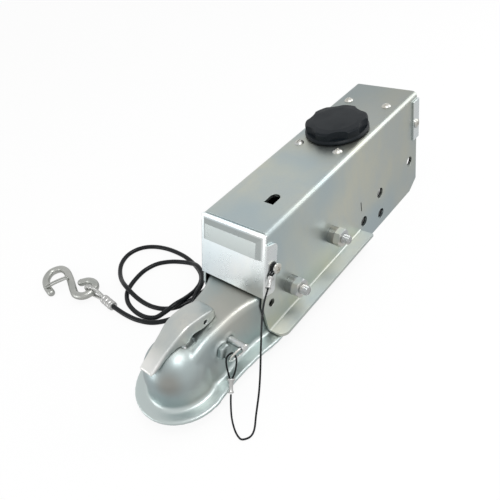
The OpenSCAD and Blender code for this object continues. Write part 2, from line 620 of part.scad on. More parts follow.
// Half width of the head's flange, by distance before the ball
flange_table = [
    [-150, flange_edge - 6], [-112, flange_edge - 6], [-96, flange_edge - 6], [-84, flange_edge - 6.5],
    [-72, flange_edge - 9], [-58, nose_r - 0.8], [-42, nose_r - 2], [-24, nose_r - 2.5], [-10, nose_r - 1], [0, nose_r], [10, nose_r]];
module head_flange_outline() {
    side = [for (x = [joint_x - 3 : 6 : ball_x - 3]) [x, row_at(flange_table, x - ball_x)[1]]];
    polygon(concat(side, arc([ball_x, 0], nose_r, 90, -90, 48), [for (i = [len(side) - 1 : -1 : 0]) [side[i][0], -side[i][1]]]));
}
module head_dome() {
    skirt_r = dome_r + 1.5;
    translate([ball_x, 0, 0]) {
        intersection() {
            translate([0, 0, ball_z]) sphere(r = dome_r, $fn = 96);
            translate([-2 * dome_r, -2 * dome_r, ball_z]) cube(4 * dome_r);
        }
        translate([0, 0, head_flange_under]) cylinder(r1 = skirt_r + 0.3, r2 = dome_r, h = ball_z - head_flange_under, $fn = 96);
        rotate_extrude($fn = 96) polygon(concat(
            [[dome_r - 2, head_flange_under], [skirt_r + foot_r, head_flange_under], [skirt_r + foot_r, head_flange_z]],
            arc([skirt_r + foot_r, head_flange_z + foot_r], foot_r, 250, 190, 2),
            [[dome_r - 2, head_flange_z + foot_r]]));
    }
}
module coupler_head() {
    color("lightsteelblue") difference() {
        union() {
            translate([0, 0, head_flange_under]) linear_extrude(head_flange_t) head_flange_outline();
            head_body(0, joint_x - 2, ball_x + 24);
            head_dome();
            for (side = [-1, 1]) bar_y(latch_x, latch_z, boss_r, side > 0 ? 24 : -boss_y, side > 0 ? boss_y : -24);
            bar_y(pin_x, pin_z, 6.5, 24, pin_boss_y);
            // Lugs of the handle's pivot, on stems that point to the ball's centre
            for (side = [-1, 1]) translate([pivot_x, side > 0 ? rib_w / 2 + gap : -rib_w / 2 - gap - lug_t, pivot_z]) {
                bar_y(0, 0, lug_r, 0, lug_t);
                rotate([0, 45, 0]) translate([0.3 - lug_r, 0, -5.5]) cube([2 * lug_r - 0.6, lug_t, 5.5]);
            }
        }
        // Square rear face, welded to the channel
        translate([joint_x - 20, -flange_edge, 0]) cube([20, 2 * flange_edge, case_h]);
        // Inside of the pressing
        head_body(head_t, joint_x - cut, ball_x + 19);
        translate([ball_x, 0, ball_z]) sphere(r = socket_r, $fn = 96);
        translate([ball_x, 0, head_flange_under - cut]) cylinder(r = socket_r, h = ball_z - head_flange_under + cut, $fn = 96);
        // Bolt, pin, handle pivot and roller slots
        bar_y(latch_x, latch_z, latch_bolt_d / 2 + fit, -boss_y - cut, boss_y + cut);
        bar_y(pin_x, pin_z, pin_d / 2 + fit, 16, pin_boss_y + cut);
        bar_y(pivot_x, pivot_z, lever_pin_d / 2 + fit, -8, 8);
        bar_y(pivot_x, pivot_z, rib_r + gap, fit - rib_w / 2 - gap, rib_w / 2 + gap - fit);
        slot_y(axle_fx, axle_fx + surge, front_axle_z, slot_h, -half_w, half_w);
        // Slots that the handle's lobes reach through
        for (side = [-1, 1]) translate([lobe_x - 9.5, side > 0 ? 7.4 : -13.6, head_top_z - 12]) cube([15.5, 6.2, 20]);
    }
}
module slide_channel() {
    color("lightsteelblue") difference() {
        section_x(channel_rear_x, joint_x)
            hat_section(slide_w, channel_top_z, case_t, head_flange_z, flange_edge - 6, bend_r, 4.1);
        slot_y(axle_rx, axle_rx + surge, rear_axle_z, slot_h, -half_w, half_w);
    }
}
module rod_bracket() {
    color("silver") difference() {
        union() {
            translate([bracket_x, -18, channel_top_z]) cube([4, 36, cyl_z - channel_top_z + 8.5]);
            translate([bracket_x, -26, channel_top_z]) cube([22, 44, 3]);
            // Stop that the breakaway lever's toe pushes on
            translate([bracket_x + 10, breakaway_y - 5, channel_top_z]) cube([4, 10, 11]);
        }
        bar_x(0, cyl_z, rod_r + fit, bracket_x - cut, bracket_x + 5);
    }
}
module push_rod() {
    color("silver") {
        bar_x(0, cyl_z, rod_r, piston_x, bracket_x + 12);
        bar_x(0, cyl_z, 7.5, bracket_x - 2, bracket_x);
        bar_x(0, cyl_z, 8.5, bracket_x + 4, bracket_x + 10, 6);
    }
}
module master_piston() {
    r = bore_d / 2 - fit;
    color("goldenrod") translate([piston_x, 0, cyl_z]) rotate([0, -90, 0]) rotate_extrude($fn = 64) polygon([
        [0, 0], [r, 0], [r, 5], [r - 4, 5], [r - 4, 14], [r, 14], [r, 17], [0, 17]]);
}
module piston_cup() {
    r = bore_d / 2 - fit;
    color([0.1, 0.1, 0.1]) translate([piston_x - 17, 0, cyl_z]) rotate([0, -90, 0]) rotate_extrude($fn = 64) polygon([
        [0, 0], [r, 0], [r, 6], [r - 2, 6], [r - 4, 3], [0, 3]]);
}
module retaining_ring() {
    color("silver") difference() {
        bar_x(0, cyl_z, bore_d / 2 + 1.1, cyl_front_x - 3.9, cyl_front_x - 2.5, 64);
        bar_x(0, cyl_z, 7, cyl_front_x - 5, cyl_front_x - 1);
    }
}

// Latch bolt, ball clamp and its torsion spring
module latch_bolt() {
    head_h = 5;
    flat_r = 8.9;
    color("silver") {
        bar_y(latch_x, latch_z, latch_bolt_d / 2, -boss_y - 10, boss_y);
        translate([latch_x, boss_y, latch_z]) rotate([-90, 0, 0]) intersection() {
            cylinder(r = flat_r, h = head_h, $fn = 6);
            rotate_extrude($fn = 48) polygon([
                [0, -0.5], [flat_r - 0.2, -0.5], [flat_r, head_h - 2.4], [flat_r - 1.6, head_h - 0.4], [flat_r - 3, head_h], [0, head_h]]);
        }
    }
}
module latch_nut() {
    color("silver") difference() {
        union() {
            bar_y(latch_x, latch_z, boss_r, -boss_y - 1.4, -boss_y);
            bar_y(latch_x, latch_z, 8.2, -boss_y - 8.4, -boss_y - 1, 6);
        }
        bar_y(latch_x, latch_z, latch_bolt_d / 2 + fit, -boss_y - 10, -boss_y + 1);
    }
}
module ball_clamp() {
    hub_r = 7;
    w = 12;
    jaw_t = 6;
    color("lightsteelblue") difference() {
        union() {
            bar_y(latch_x, latch_z, hub_r, -w, w);
            intersection() {
                translate([ball_x, 0, ball_z]) sphere(r = socket_r + jaw_t, $fn = 96);
                translate([ball_x - 40, -w, ball_z - 32]) cube([27, 2 * w, 30]);
            }
            translate([latch_x - hub_r, -w, ball_z - 12]) cube([11, 2 * w, latch_z - ball_z + 12]);
        }
        translate([ball_x, 0, ball_z]) sphere(r = socket_r, $fn = 96);
        bar_y(latch_x, latch_z, latch_bolt_d / 2 + fit, -w - cut, w + cut);
    }
}
module clamp_spring() {
    wire = 1.1;
    coil_r = latch_bolt_d / 2 + gap + wire;
    turns = 3;
    y0 = 13.5;
    helix = [for (i = [0 : 12 * turns]) [latch_x + coil_r * cos(30 * i), y0 + wire + 2.5 * wire * i / 12, latch_z + coil_r * sin(30 * i)]];
    color("silver") tube(helix, wire, 8, [1, 0.1, 0.1]);
}

// The handle: a cast shell, narrow at the front, with a wavy lower edge and two lobes
lever_table = [
    [0, 11.2, 9.6, 0.9], [2, 12.2, 11, 0.5], [6, 13, 13, 0.4], [14, 13.7, 15.8, 0.7], [24, 13.8, 18, 3], [33, 13.5, 19, 5.2],
    [38, 13.2, 18.9, 2.6], [42, 12.9, 18.3, 0.8], [46, 12.4, 17.1, 2.6], [52, 11.5, 15.1, 5], [58, 10.8, 13, 4.9], [62.5, 10.3, 11.5, 4.4],
    [67, 9.8, 9.8, 3.1], [75, 9.3, 6.6, 0.4], [81, 9.1, 4.3, -0.5], [85, 8.9, 2.6, -1], [87, 8.4, 1.6, -1.2]];
function lever_section(x, inset) = let (
    s = 87 * (x - lever_rear_x) / lever_l,
    q = row_at(lever_table, s),
    w = q[1] - inset, top = head_top_z + q[2] - inset,
    low = head_top_z + q[3] - (inset > 0 ? 30 : 0),
    r = inset > 0 ? 1.2 : 2.2,
    half = concat([[w - 0.2, low]], arc([w - r, top - r], r, 0, 80, 4), [[0.4 * w, top + 0.6]]))
    concat(half, mirrored(half));
module lever_body(inset, x0, x1) {
    xs = [for (x = [x0 : 2.5 : x1 - 1.2]) x, x1];
    loft(xs, [for (x = xs) lever_section(x, inset)]);
}
module lever() {
    color("whitesmoke") difference() {
        union() {
            difference() {
                union() {
                    lever_body(0, lever_rear_x, lever_rear_x + lever_l);
                    // Lobes that lock the clamp from above
                    for (side = [-1, 1]) plate_y(side > 0 ? 9 : -12, side > 0 ? 12 : -9)
                        polygon(concat([[lobe_x - 7, head_top_z + 10], [lobe_x - 7, head_top_z]],
                            arc([lobe_x - 2, head_top_z - 2], 5, 180, 360, 8), [[lobe_x + 3, head_top_z + 10]]));
                }
                difference() {
                    lever_body(lever_t, lever_rear_x + 3.5, lever_rear_x + lever_l - 3.5);
                    for (side = [-1, 1]) translate([lobe_x - 7, side > 0 ? 9 : -13, head_top_z - 8]) cube([10, 4, 20]);
                }
            }
            // Pivot rib under the handle's front
            intersection() {
                translate([0, -rib_w / 2, 0]) {
                    bar_y(pivot_x, pivot_z, rib_r, 0, rib_w);
                    translate([pivot_x - rib_r, 0, pivot_z]) cube([2 * rib_r, rib_w, 12]);
                }
                union() {
                    lever_body(0, lever_rear_x, lever_rear_x + lever_l);
                    translate([pivot_x - 10, -5, pivot_z - 10]) cube([20, 10, 12]);
                }
            }
        }
        bar_y(pivot_x, pivot_z, lever_pin_d / 2 + fit, -6, 6);
        // Padlock hole near the rear
        bar_y(lever_rear_x + 15.5, head_top_z + 6, 2.6, -16, 16, 32);
    }
}
module lever_pin() {
    color("silver") bar_y(pivot_x, pivot_z, lever_pin_d / 2, -rib_w / 2 - gap - lug_t, rib_w / 2 + gap + lug_t);
}

// Safety pin with its wire ring
module safety_pin() {
    nose = 2;
    color("silver") difference() {
        translate([pin_x, 0, pin_z]) rotate([-90, 0, 0]) rotate_extrude($fn = 40) polygon([
            [0, pin_tip_y], [pin_d / 2 - nose, pin_tip_y], [pin_d / 2, pin_tip_y + nose],
            [pin_d / 2, pin_end_y - 1], [pin_d / 2 - 1, pin_end_y], [0, pin_end_y]]);
        translate([pin_x, pin_end_y - 4, pin_z - 0.3]) rotate([0, 70, 0]) cylinder(r = ring_wire / 2 + 0.9, h = 14, center = true, $fn = 24);
    }
}
module pin_ring() {
    // It leans back to the wall and hangs a little forward
    color("silver") translate([pin_x, pin_end_y - 4, pin_z]) rotate([-28, -20, 0]) translate([0, 0, -ring_d / 2])
        rotate([90, 0, 0]) rotate_extrude($fn = 64) translate([ring_d / 2, 0]) circle(d = ring_wire, $fn = 16);
}

// Breakaway lever, its pivot, and the cable's inner end
module breakaway_lever() {
    t = 4;
    ear_w = 9;
    color("silver") difference() {
        union() {
            plate_y(breakaway_y - t / 2, breakaway_y + t / 2) {
                translate([breakaway_x, breakaway_z]) circle(r = 9, $fn = 48);
                translate([breakaway_x - 6, breakaway_z]) square([12, cable_in_z - breakaway_z + ear_w]);
                translate([breakaway_x - 6, toe_z]) square([10, breakaway_z - toe_z]);
            }
            translate([breakaway_x - 6, breakaway_y - t / 2, cable_in_z - ear_w]) cube([t, cable_y + ear_w - breakaway_y + t / 2, 2 * ear_w]);
        }
        bar_y(breakaway_x, breakaway_z, 4 + fit, breakaway_y - t, breakaway_y + t);
        bar_x(cable_y, cable_in_z, cable_d / 2 + 1.3, breakaway_x - 8, breakaway_x + 8, 32);
    }
}
module breakaway_pivot() {
    color("silver") {
        bar_y(breakaway_x, breakaway_z, 4, -half_w, breakaway_y + 6);
        bar_y(breakaway_x, breakaway_z, 7, -half_w - 4, -half_w);
        bar_y(breakaway_x, breakaway_z, 6.5, breakaway_y + 2 + gap, breakaway_y + 7);
        bar_y(breakaway_x, breakaway_z, 6.5, -in_w, breakaway_y - 2 - gap);
    }
}
module cable_grommet() {
    color([0.08, 0.08, 0.08]) translate([grommet_x, -half_w - 2.5, cable_in_z]) rotate([-90, 0, 0]) rotate_extrude($fn = 48) polygon([
        [cable_d / 2 + 0.4, 0], [9, 0], [9, 2.4], [6.5 - fit, 2.4], [6.5 - fit, 6.6], [9, 6.6], [9, 9], [cable_d / 2 + 0.4, 9]]);
}
module cable_stop() {
    color("silver") bar_x(cable_y, cable_in_z, 5.5, breakaway_x - 6.3 - 8, breakaway_x - 6.3, 32);
}
module breakaway_cable() {
    color([0.08, 0.08, 0.09]) tube(cable_points, cable_d / 2, 10);
}
module crimp_sleeve() {
    d = unit(sleeve_b - sleeve_a);
    color("silver") tube([sleeve_a, sleeve_a + d * 2, sleeve_b - d * 2, sleeve_b], 6, 16);
}
module rope_eye() {
    color("lightgray") tube(route(rope_points, 3), 2.3, 10, [1, 0.1, 0]);
}
module s_hook() {
    color("silver") tube(route(hook_points, 4), hook_d / 2, 16);
}
module hook_gate() {
    color("silver") tube(route(gate_points, 4), 1.2, 8);
}

// Lanyard: its own run and the two crimped eyes
module lanyard() {
    color([0.08, 0.08, 0.09]) tube(route(lanyard_points, 3), lanyard_d / 2, 8);
}
module lanyard_upper_eye() {
    y = half_w + seat + cover_t + lanyard_d / 2 + 0.3;
    r = tab_screw_d / 2 + lanyard_d / 2 + gap;
    a = [tab_hole_x(), y, tab_screw_z];
    pts = concat(
        [a + [12.5, 1.2, -2.7], a + [9.2, 0.3, -1.6]],
        [for (i = [0 : 10]) a + r * [cos(40 + 24.4 * i), 0, sin(40 + 24.4 * i)]],
        [a + [8.6, 0.3, -4.3], a + [11.7, 1, -5.2]]);
    color("silver") union() {
        tube(pts, lanyard_d / 2, 8, [0, 1, 0.1]);
        tube([a + [10.6, 1.4, -3.5], lanyard_points[0] + [1.5, 0.6, -0.3]], 2.4, 12);
    }
}
module lanyard_lower_eye() {
    color("silver") union() {
        tube(lower_ferrule, 2.4, 12);
        tube(route(lower_eye_points, 2), lanyard_d / 2, 8, [0, 0.2, 1]);
    }
}

outer_case();
front_cover();
rear_cover();
front_cover_screws();
rear_cover_screws();
top_screws();
reservoir_body();
filler_cap();
filler_seal();
front_axle();
rear_axle();
front_axle_nuts();
rear_axle_nuts();
axle_washers();
front_roller();
rear_roller();
coupler_head();
slide_channel();
rod_bracket();
push_rod();
master_piston();
piston_cup();
retaining_ring();
latch_bolt();
latch_nut();
ball_clamp();
clamp_spring();
lever();
lever_pin();
safety_pin();
pin_ring();
breakaway_lever();
breakaway_pivot();
cable_grommet();
cable_stop();
breakaway_cable();
crimp_sleeve();
rope_eye();
s_hook();
hook_gate();
lanyard();
lanyard_upper_eye();
lanyard_lower_eye();
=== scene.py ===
# A trailer's surge brake actuator: a sliding ball coupler head in a folded zinc case, with its
# latch handle, safety pin, filler cap and breakaway cable. Metres, +X towards the nose.
import math

import bpy
from mathutils import Matrix, Vector


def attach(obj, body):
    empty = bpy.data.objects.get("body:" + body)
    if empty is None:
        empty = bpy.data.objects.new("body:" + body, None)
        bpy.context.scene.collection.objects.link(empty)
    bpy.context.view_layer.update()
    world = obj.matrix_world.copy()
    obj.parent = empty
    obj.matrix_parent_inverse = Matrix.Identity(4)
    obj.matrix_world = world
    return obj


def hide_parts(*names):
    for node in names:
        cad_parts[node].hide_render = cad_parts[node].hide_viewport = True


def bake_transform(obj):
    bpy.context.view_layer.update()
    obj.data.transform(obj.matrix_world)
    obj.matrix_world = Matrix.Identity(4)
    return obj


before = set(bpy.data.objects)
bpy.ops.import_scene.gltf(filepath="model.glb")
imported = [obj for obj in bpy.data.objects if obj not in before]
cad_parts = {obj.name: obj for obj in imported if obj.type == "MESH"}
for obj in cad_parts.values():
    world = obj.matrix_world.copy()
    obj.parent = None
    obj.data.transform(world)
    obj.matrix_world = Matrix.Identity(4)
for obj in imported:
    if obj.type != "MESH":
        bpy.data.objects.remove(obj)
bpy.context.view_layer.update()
MM = 0.001


# Camera
# It stands ahead of the nose, to the left and above, where the photograph was taken from.
# Its place and lens were worked out from the case's edges, holes and screws in the picture.
camera_place = Vector((0.32034, 0.31199, 0.43673))
camera_data = bpy.data.cameras.new("camera")
camera_data.sensor_width = 36
camera_data.lens = 36.56
camera = bpy.data.objects.new("camera", camera_data)
bpy.context.scene.collection.objects.link(camera)
image_right = Vector((-0.62858, 0.75234, -0.19716)).normalized()
image_down = Vector((0.59964, 0.30737, -0.73889)).normalized()
line_of_sight = image_right.cross(image_down)
image_down = line_of_sight.cross(image_right)
camera_turn = Matrix((image_right, -image_down, -line_of_sight)).transposed().to_4x4()
camera.matrix_world = Matrix.Translation(camera_place) @ camera_turn
bpy.context.scene.camera = camera
bpy.context.scene.view_settings.view_transform = "Standard"


# Breakaway cable
# A wire rope in a glossy black vinyl coat. It leaves the case's right wall through a rubber grommet,
# falls to the floor and lies there in loose coils, ending in a crimped sleeve with a bare rope eye.
CABLE_R = 0.003


def smooth_route(points, steps, lowest=0.0):
    # A smooth line through the same points as in the part's source, which are in millimetres
    path = []
    last = len(points) - 1
    for i in range(last):
        a, b, c, d = (Vector(points[max(0, min(j, last))]) for j in (i - 1, i, i + 1, i + 2))
        for k in range(steps):
            t = k / steps
            bend, twist = 2 * a - 5 * b + 4 * c - d, 3 * b - a - 3 * c + d
            path.append(0.5 * (2 * b + (c - a) * t + bend * t**2 + twist * t**3))
    path.append(Vector(points[-1]))
    return [Vector((p.x, p.y, max(p.z, lowest))) * MM for p in path]


def carried_frames(path, side=(0.13, 0.21, 1)):
    # Each point with its direction and two directions across it, which turn as little as they can
    last = len(path) - 1
    across = Vector(side)
    frames = []
    for i in range(len(path)):
        along = (path[min(i + 1, last)] - path[max(i - 1, 0)]).normalized()
        across = (across - along * across.dot(along)).normalized()
        frames.append((path[i], along, across, along.cross(across)))
    return frames


def skin(frames, outline):
    # outline(i) gives ring i, as two distances across the line for each of its points
    count = len(outline(0))
    points = []
    for i, (centre, along, across, up) in enumerate(frames):
        points += [centre + across * u + up * v for u, v in outline(i)]
    faces = []
    for i in range(len(frames) - 1):
        for k in range(count):
            a, b = i * count + k, i * count + (k + 1) % count
            faces.append((a, b, b + count, a + count))
    faces.append(tuple(reversed(range(count))))
    faces.append(tuple(range((len(frames) - 1) * count, len(frames) * count)))
    return points, faces


def circle(radius, count):
    turns = [2 * math.pi * k / count for k in range(count)]
    return [(radius * math.cos(turn), radius * math.sin(turn)) for turn in turns]


def tube(path, radius, count=12):
    radii = radius if isinstance(radius, list) else [radius] * len(path)
    return skin(carried_frames(path), lambda i: circle(radii[i], count))


def make(name, shape, material):
    points, faces = shape
    mesh = bpy.data.meshes.new(name)
    mesh.from_pydata([tuple(p) for p in points], [], faces)
    mesh.materials.append(material)
    mesh.shade_smooth()
    made = bpy.data.objects.new(name, mesh)
    bpy.context.scene.collection.objects.link(made)
    return made


def put(made, body, slot, *nodes):
    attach(made, body)
    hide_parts(*nodes)
    return made


class Channel:
    # One socket of a finish: an operator on it adds its Math node
    def __init__(self, finish, socket):
        self.finish = finish
        self.socket = socket

    def maths(self, operation, *others):
        sockets = {0: self, **dict(enumerate(others, 1))}
        return self.finish.node("ShaderNodeMath", {"operation": operation}, sockets)

    def __add__(self, other):
        return self.maths("ADD", other)

    __radd__ = __add__

    def __sub__(self, other):
        return self.maths("SUBTRACT", other)

    def __rsub__(self, other):
        return self.maths("MULTIPLY", -1) + other

    def __mul__(self, other):
        return self.maths("MULTIPLY", other)

    __rmul__ = __mul__

    def step(self, low, high):
        settings = {"interpolation_type": "SMOOTHSTEP"}
        return self.finish.node("ShaderNodeMapRange", settings, {0: self, 1: low, 2: high})


class Finish:
    # One material. node() adds any node, with its settings first and its sockets after
    def __init__(self, name, **shader):
        self.material = bpy.data.materials.new(name)
        self.material.use_nodes = True
        self.tree = self.material.node_tree
        self.shader = self.tree.nodes["Principled BSDF"]
        for socket, value in shader.items():
            self.shader.inputs[socket.replace("_", " ")].default_value = value
        self.place = self.node("ShaderNodeTexCoord", {}, {}, "Object")

    def node(self, kind, settings, sockets, output=0):
        made = self.tree.nodes.new(kind)
        for key, value in settings.items():
            setattr(made, key, value)
        for key, value in sockets.items():
            if isinstance(value, Channel):
                self.tree.links.new(value.socket, made.inputs[key])
            else:
                made.inputs[key].default_value = value
        return Channel(self, made.outputs[output])

    def stretched(self, scale):
        return self.node("ShaderNodeMapping", {}, {"Vector": self.place, "Scale": scale})

    def noise(self, scale, detail=3.0, where=None, roughness=0.5):
        sockets = {"Vector": where or self.place, "Scale": scale, "Detail": detail, "Roughness": roughness}
        return self.node("ShaderNodeTexNoise", {"noise_dimensions": "3D"}, sockets)

    def blend(self, mask, first, second):
        return self.node("ShaderNodeMix", {"data_type": "RGBA"}, {0: mask, 6: first, 7: second}, 2)

    def feed(self, socket, value):
        self.tree.links.new(value.socket, self.shader.inputs[socket])

    def bump(self, height, distance, strength=1.0, normal=None):
        sockets = {"Height": height, "Distance": distance, "Strength": strength}
        if normal:
            sockets["Normal"] = normal
        self.feed("Normal", self.node("ShaderNodeBump", {}, sockets))


def rgb(red, green, blue):
    return (red, green, blue, 1)


cable_coat = Finish("cable_coat", Coat_Weight=0.08, Coat_Roughness=0.2, Specular_IOR_Level=0.22)
coat_tone = cable_coat.noise(160, 3)
scuffs = cable_coat.noise(700, 4, roughness=0.7).step(0.5, 0.8)
cable_coat.feed("Base Color", cable_coat.blend(coat_tone, rgb(0.003, 0.004, 0.005), rgb(0.008, 0.01, 0.012)))
cable_coat.feed("Roughness", scuffs * 0.22 + 0.26)
cable_coat.bump(coat_tone + scuffs * 0.3, 0.00006, 0.7)

cable_points = [
    (26, -46, 122), (26, -54, 120), (27, -63, 113), (29, -69, 101), (31, -72, 86), (33, -73, 70),
    (35, -74, 54), (38, -75, 38), (45, -77, 22), (57, -80, 9), (74, -83, 3.5), (93, -87, 3),
    (109, -94, 3), (121, -107, 3), (127, -126, 3), (128, -150, 5), (124, -177, 9.5), (115, -202, 5),
    (102, -221, 3), (88, -231, 3), (73, -233.5, 3), (58, -227, 3), (47, -212, 3), (40.5, -190, 3),
    (39, -164, 3), (41.5, -142, 3), (48, -120, 3), (56, -106, 3), (66, -98, 3), (79, -94.5, 3),
    (96, -93.5, 6), (112, -94.5, 9.5), (126, -99, 7), (137, -107, 3), (143, -119, 3), (144, -136, 3),
    (140.5, -154, 3), (134, -167, 3), (124.5, -176.5, 3), (108.5, -183, 3), (88.5, -185.5, 3),
    (71, -180, 3), (59, -168, 3), (50.5, -152, 3), (46.5, -134, 5), (49, -117, 9.5), (57, -101, 9.5),
    (69, -90, 9.5), (84, -84, 9.5), (102, -81, 5), (119, -83, 3), (133, -91, 3), (145, -105, 3),
    (152, -125, 3.5), (154.5, -146, 4.5), (154.5, -168, 6)]
cable_path = smooth_route(cable_points, 7, 3)
cable_curve = bpy.data.curves.new("breakaway_cable_run", "CURVE")
cable_curve.dimensions = "3D"
cable_curve.bevel_depth = CABLE_R
cable_curve.bevel_resolution = 4
cable_curve.use_fill_caps = True
cable_line = cable_curve.splines.new("POLY")
cable_line.points.add(len(cable_path) - 1)
for point, place in zip(cable_line.points, cable_path):
    point.co = (*place, 1)
cable_line.use_smooth = True
cable_curve.materials.append(cable_coat.material)
cable_run = bpy.data.objects.new("breakaway_cable_run", cable_curve)
bpy.context.scene.collection.objects.link(cable_run)
put(cable_run, "case", "cable_coat", "breakaway_cable")
inner_points = [
    (-28, -12, 122), (-14, -12, 122), (-3, -12.5, 122), (9, -16, 122), (19, -23, 122), (24.5, -30, 122),
    (26, -36, 122), (26, -46, 122)]
inner_shape = tube(smooth_route(inner_points, 5), CABLE_R, 16)
cable_inner = make("breakaway_cable_inner", inner_shape, cable_coat.material)
put(cable_inner, "case", "cable_coat")

# Sleeve and rope eye
# The bare rope is doubled back through an aluminium sleeve, which three crimps have pinched flat.
# The rope's six strands are laid round a core and turn once in about fifteen millimetres.
sleeve_metal = Finish("sleeve_metal", Metallic=1.0)
sleeve_grain = sleeve_metal.noise(500, 3)
sleeve_metal.feed("Base Color", sleeve_metal.blend(sleeve_grain, rgb(0.5, 0.5, 0.49), rgb(0.64, 0.64, 0.63)))
sleeve_metal.feed("Roughness", sleeve_grain * 0.16 + 0.26)
sleeve_metal.bump(sleeve_grain, 0.00003, 0.8)

sleeve_start, sleeve_end = Vector((0.1545, -0.168, 0.006)), Vector((0.1524, -0.191, 0.0067))
sleeve_rings = 49
SLEEVE_R = 0.0058
ROPE_R = 0.0023
ROPE_STRANDS = 6
ROPE_TURN = 0.015
sleeve_path = [sleeve_start.lerp(sleeve_end, i / (sleeve_rings - 1)) for i in range(sleeve_rings)]


def sleeve_outline(i):
    t = i / (sleeve_rings - 1)
    dent = max(math.exp(-(((t - centre) / 0.055) ** 2)) for centre in (0.2, 0.5, 0.8))
    end = min(1, t / 0.04, (1 - t) / 0.04)
    round_in = 0.82 + 0.18 * math.sqrt(max(0, 1 - (1 - end) ** 2))
    broad, high = (1 + 0.06 * dent) * round_in, (0.95 - 0.22 * dent) * round_in
    return [(u * broad, v * high) for u, v in circle(SLEEVE_R, 32)]


sleeve_shape = skin(carried_frames(sleeve_path, (1, 0, 0)), sleeve_outline)
crimp = make("crimped_sleeve", sleeve_shape, sleeve_metal.material)
put(crimp, "case", "crimp_metal", "crimp_sleeve")

rope_steel = Finish("rope_steel", Metallic=1.0)
rope_dirt = rope_steel.noise(900, 3)
rope_steel.feed("Base Color", rope_steel.blend(rope_dirt, rgb(0.42, 0.43, 0.42), rgb(0.7, 0.7, 0.68)))
rope_steel.feed("Roughness", rope_dirt * 0.2 + 0.28)
rope_steel.bump(rope_steel.noise(5200, 1), 0.00004, 0.6)


def joined(*parts):
    points, faces = [], []
    for some_points, some_faces in parts:
        faces += [tuple(index + len(points) for index in face) for face in some_faces]
        points += some_points
    return points, faces


def laid_rope(path, radius, strands, turn):
    # Strands wind round the path, one turn in each length given
    frames = carried_frames(path, (1, 0.1, 0))
    strand_r = radius * 0.36
    run = [0.0]
    for i in range(1, len(path)):
        run.append(run[-1] + (path[i] - path[i - 1]).length)
    parts = [tube(path, radius * 0.55, 8)]
    for strand in range(strands):
        line = []
        for i, (centre, along, across, up) in enumerate(frames):
            angle = 2 * math.pi * (run[i] / turn + strand / strands)
            line.append(centre + (radius - strand_r) * (across * math.cos(angle) + up * math.sin(angle)))
        parts.append(tube(line, strand_r, 8))
    return joined(*parts)


eye_points = [
    (151.9, -190, 8), (151.2, -196, 9.2), (151, -202, 12), (151.9, -207, 15.8), (153.4, -212, 18.2),
    (154.6, -219, 17.2), (155.2, -223.4, 12.4), (155, -223, 7), (154.2, -217.5, 3.2), (153.4, -209, 2.6),
    (153, -200, 3.6), (152.8, -190, 5.2)]
eye_shape = laid_rope(smooth_route(eye_points, 12, 2.4), ROPE_R, ROPE_STRANDS, ROPE_TURN)
eye = make("rope_eye_strands", eye_shape, rope_steel.material)
put(eye, "case", "wire_rope", "rope_eye")

# Hook
# One bent bar, open at its large end, with rounded ends and a bright zinc plate. A spring wire
# closes the opening.
HOOK_R = 0.005
GATE_R = 0.0012


def rounded_ends(path, radius):
    # Extra rings close each end with a half round
    start = (path[0] - path[1]).normalized()
    finish = (path[-1] - path[-2]).normalized()
    angles = [math.radians(a) for a in (88, 65, 42, 20)]
    before = [(path[0] + start * radius * math.sin(a), radius * math.cos(a)) for a in angles]
    after = [(path[-1] + finish * radius * math.sin(a), radius * math.cos(a)) for a in reversed(angles)]
    rings = before + [(p, radius) for p in path] + after
    return [r[0] for r in rings], [r[1] for r in rings]


hook_zinc = Finish("hook_zinc", Metallic=1.0)
hook_cloud = hook_zinc.noise(60, 3)
hook_zinc.feed("Base Color", hook_zinc.blend(hook_cloud, rgb(0.36, 0.38, 0.36), rgb(0.6, 0.6, 0.57)))
hook_zinc.feed("Roughness", hook_cloud * 0.14 + 0.3)
hook_zinc.bump(hook_zinc.noise(420, 3), 0.00003, 0.5)
hook_points = [
    (184, -272, 5), (180, -289, 5), (172, -303, 5), (160, -309, 5), (149, -303, 5), (147, -290, 5.5),
    (152, -273, 6.5), (159, -256, 8), (166, -240, 9), (169.5, -228, 10.3), (166, -217, 10.5),
    (157, -212.5, 10.5), (147, -215, 10.5), (142.5, -224, 10.3), (144, -234.5, 9.8), (151, -242.5, 9.3)]
hook_path, hook_radii = rounded_ends(smooth_route(hook_points, 8, 5), HOOK_R)
hook = make("hook_bar", tube(hook_path, hook_radii, 24), hook_zinc.material)
put(hook, "case", "plain_steel", "s_hook")
gate_points = [
    (157.5, -263.5, 13.8), (169, -270, 13.3), (178.5, -276.5, 11.5), (183.5, -279.5, 11.2),
    (184.6, -281.8, 11.2), (182.5, -283.4, 11.2), (177, -281, 11.7), (167, -274.6, 13.1),
    (156.2, -268.4, 13.4)]
gate_path, gate_radii = rounded_ends(smooth_route(gate_points, 8), GATE_R)
gate = make("hook_gate_wire", tube(gate_path, gate_radii, 12), hook_zinc.material)
put(gate, "hook_gate", "plain_steel", "hook_gate")

# Lanyard
# A thin black coated wire from the tab's screw to the safety pin's ring. It is made as two lengths
# that meet at the floor, because its ends belong to pieces that move apart.
LANYARD_R = 0.00095
lanyard_points = [
    (88.6, 51.6, 92.2), (93, 53.5, 91.5), (99, 56, 90.5), (108, 60, 88), (121, 67, 82), (138, 77, 71),
    (152, 84, 56), (164, 88.5, 41), (176, 90.5, 23), (184, 91, 8), (190, 89, 1.6), (196, 84, 1),
    (195.5, 78, 1), (191.5, 70, 1.2), (185, 62, 4.5), (177.8, 57, 12.5), (172.2, 54.3, 19.8)]
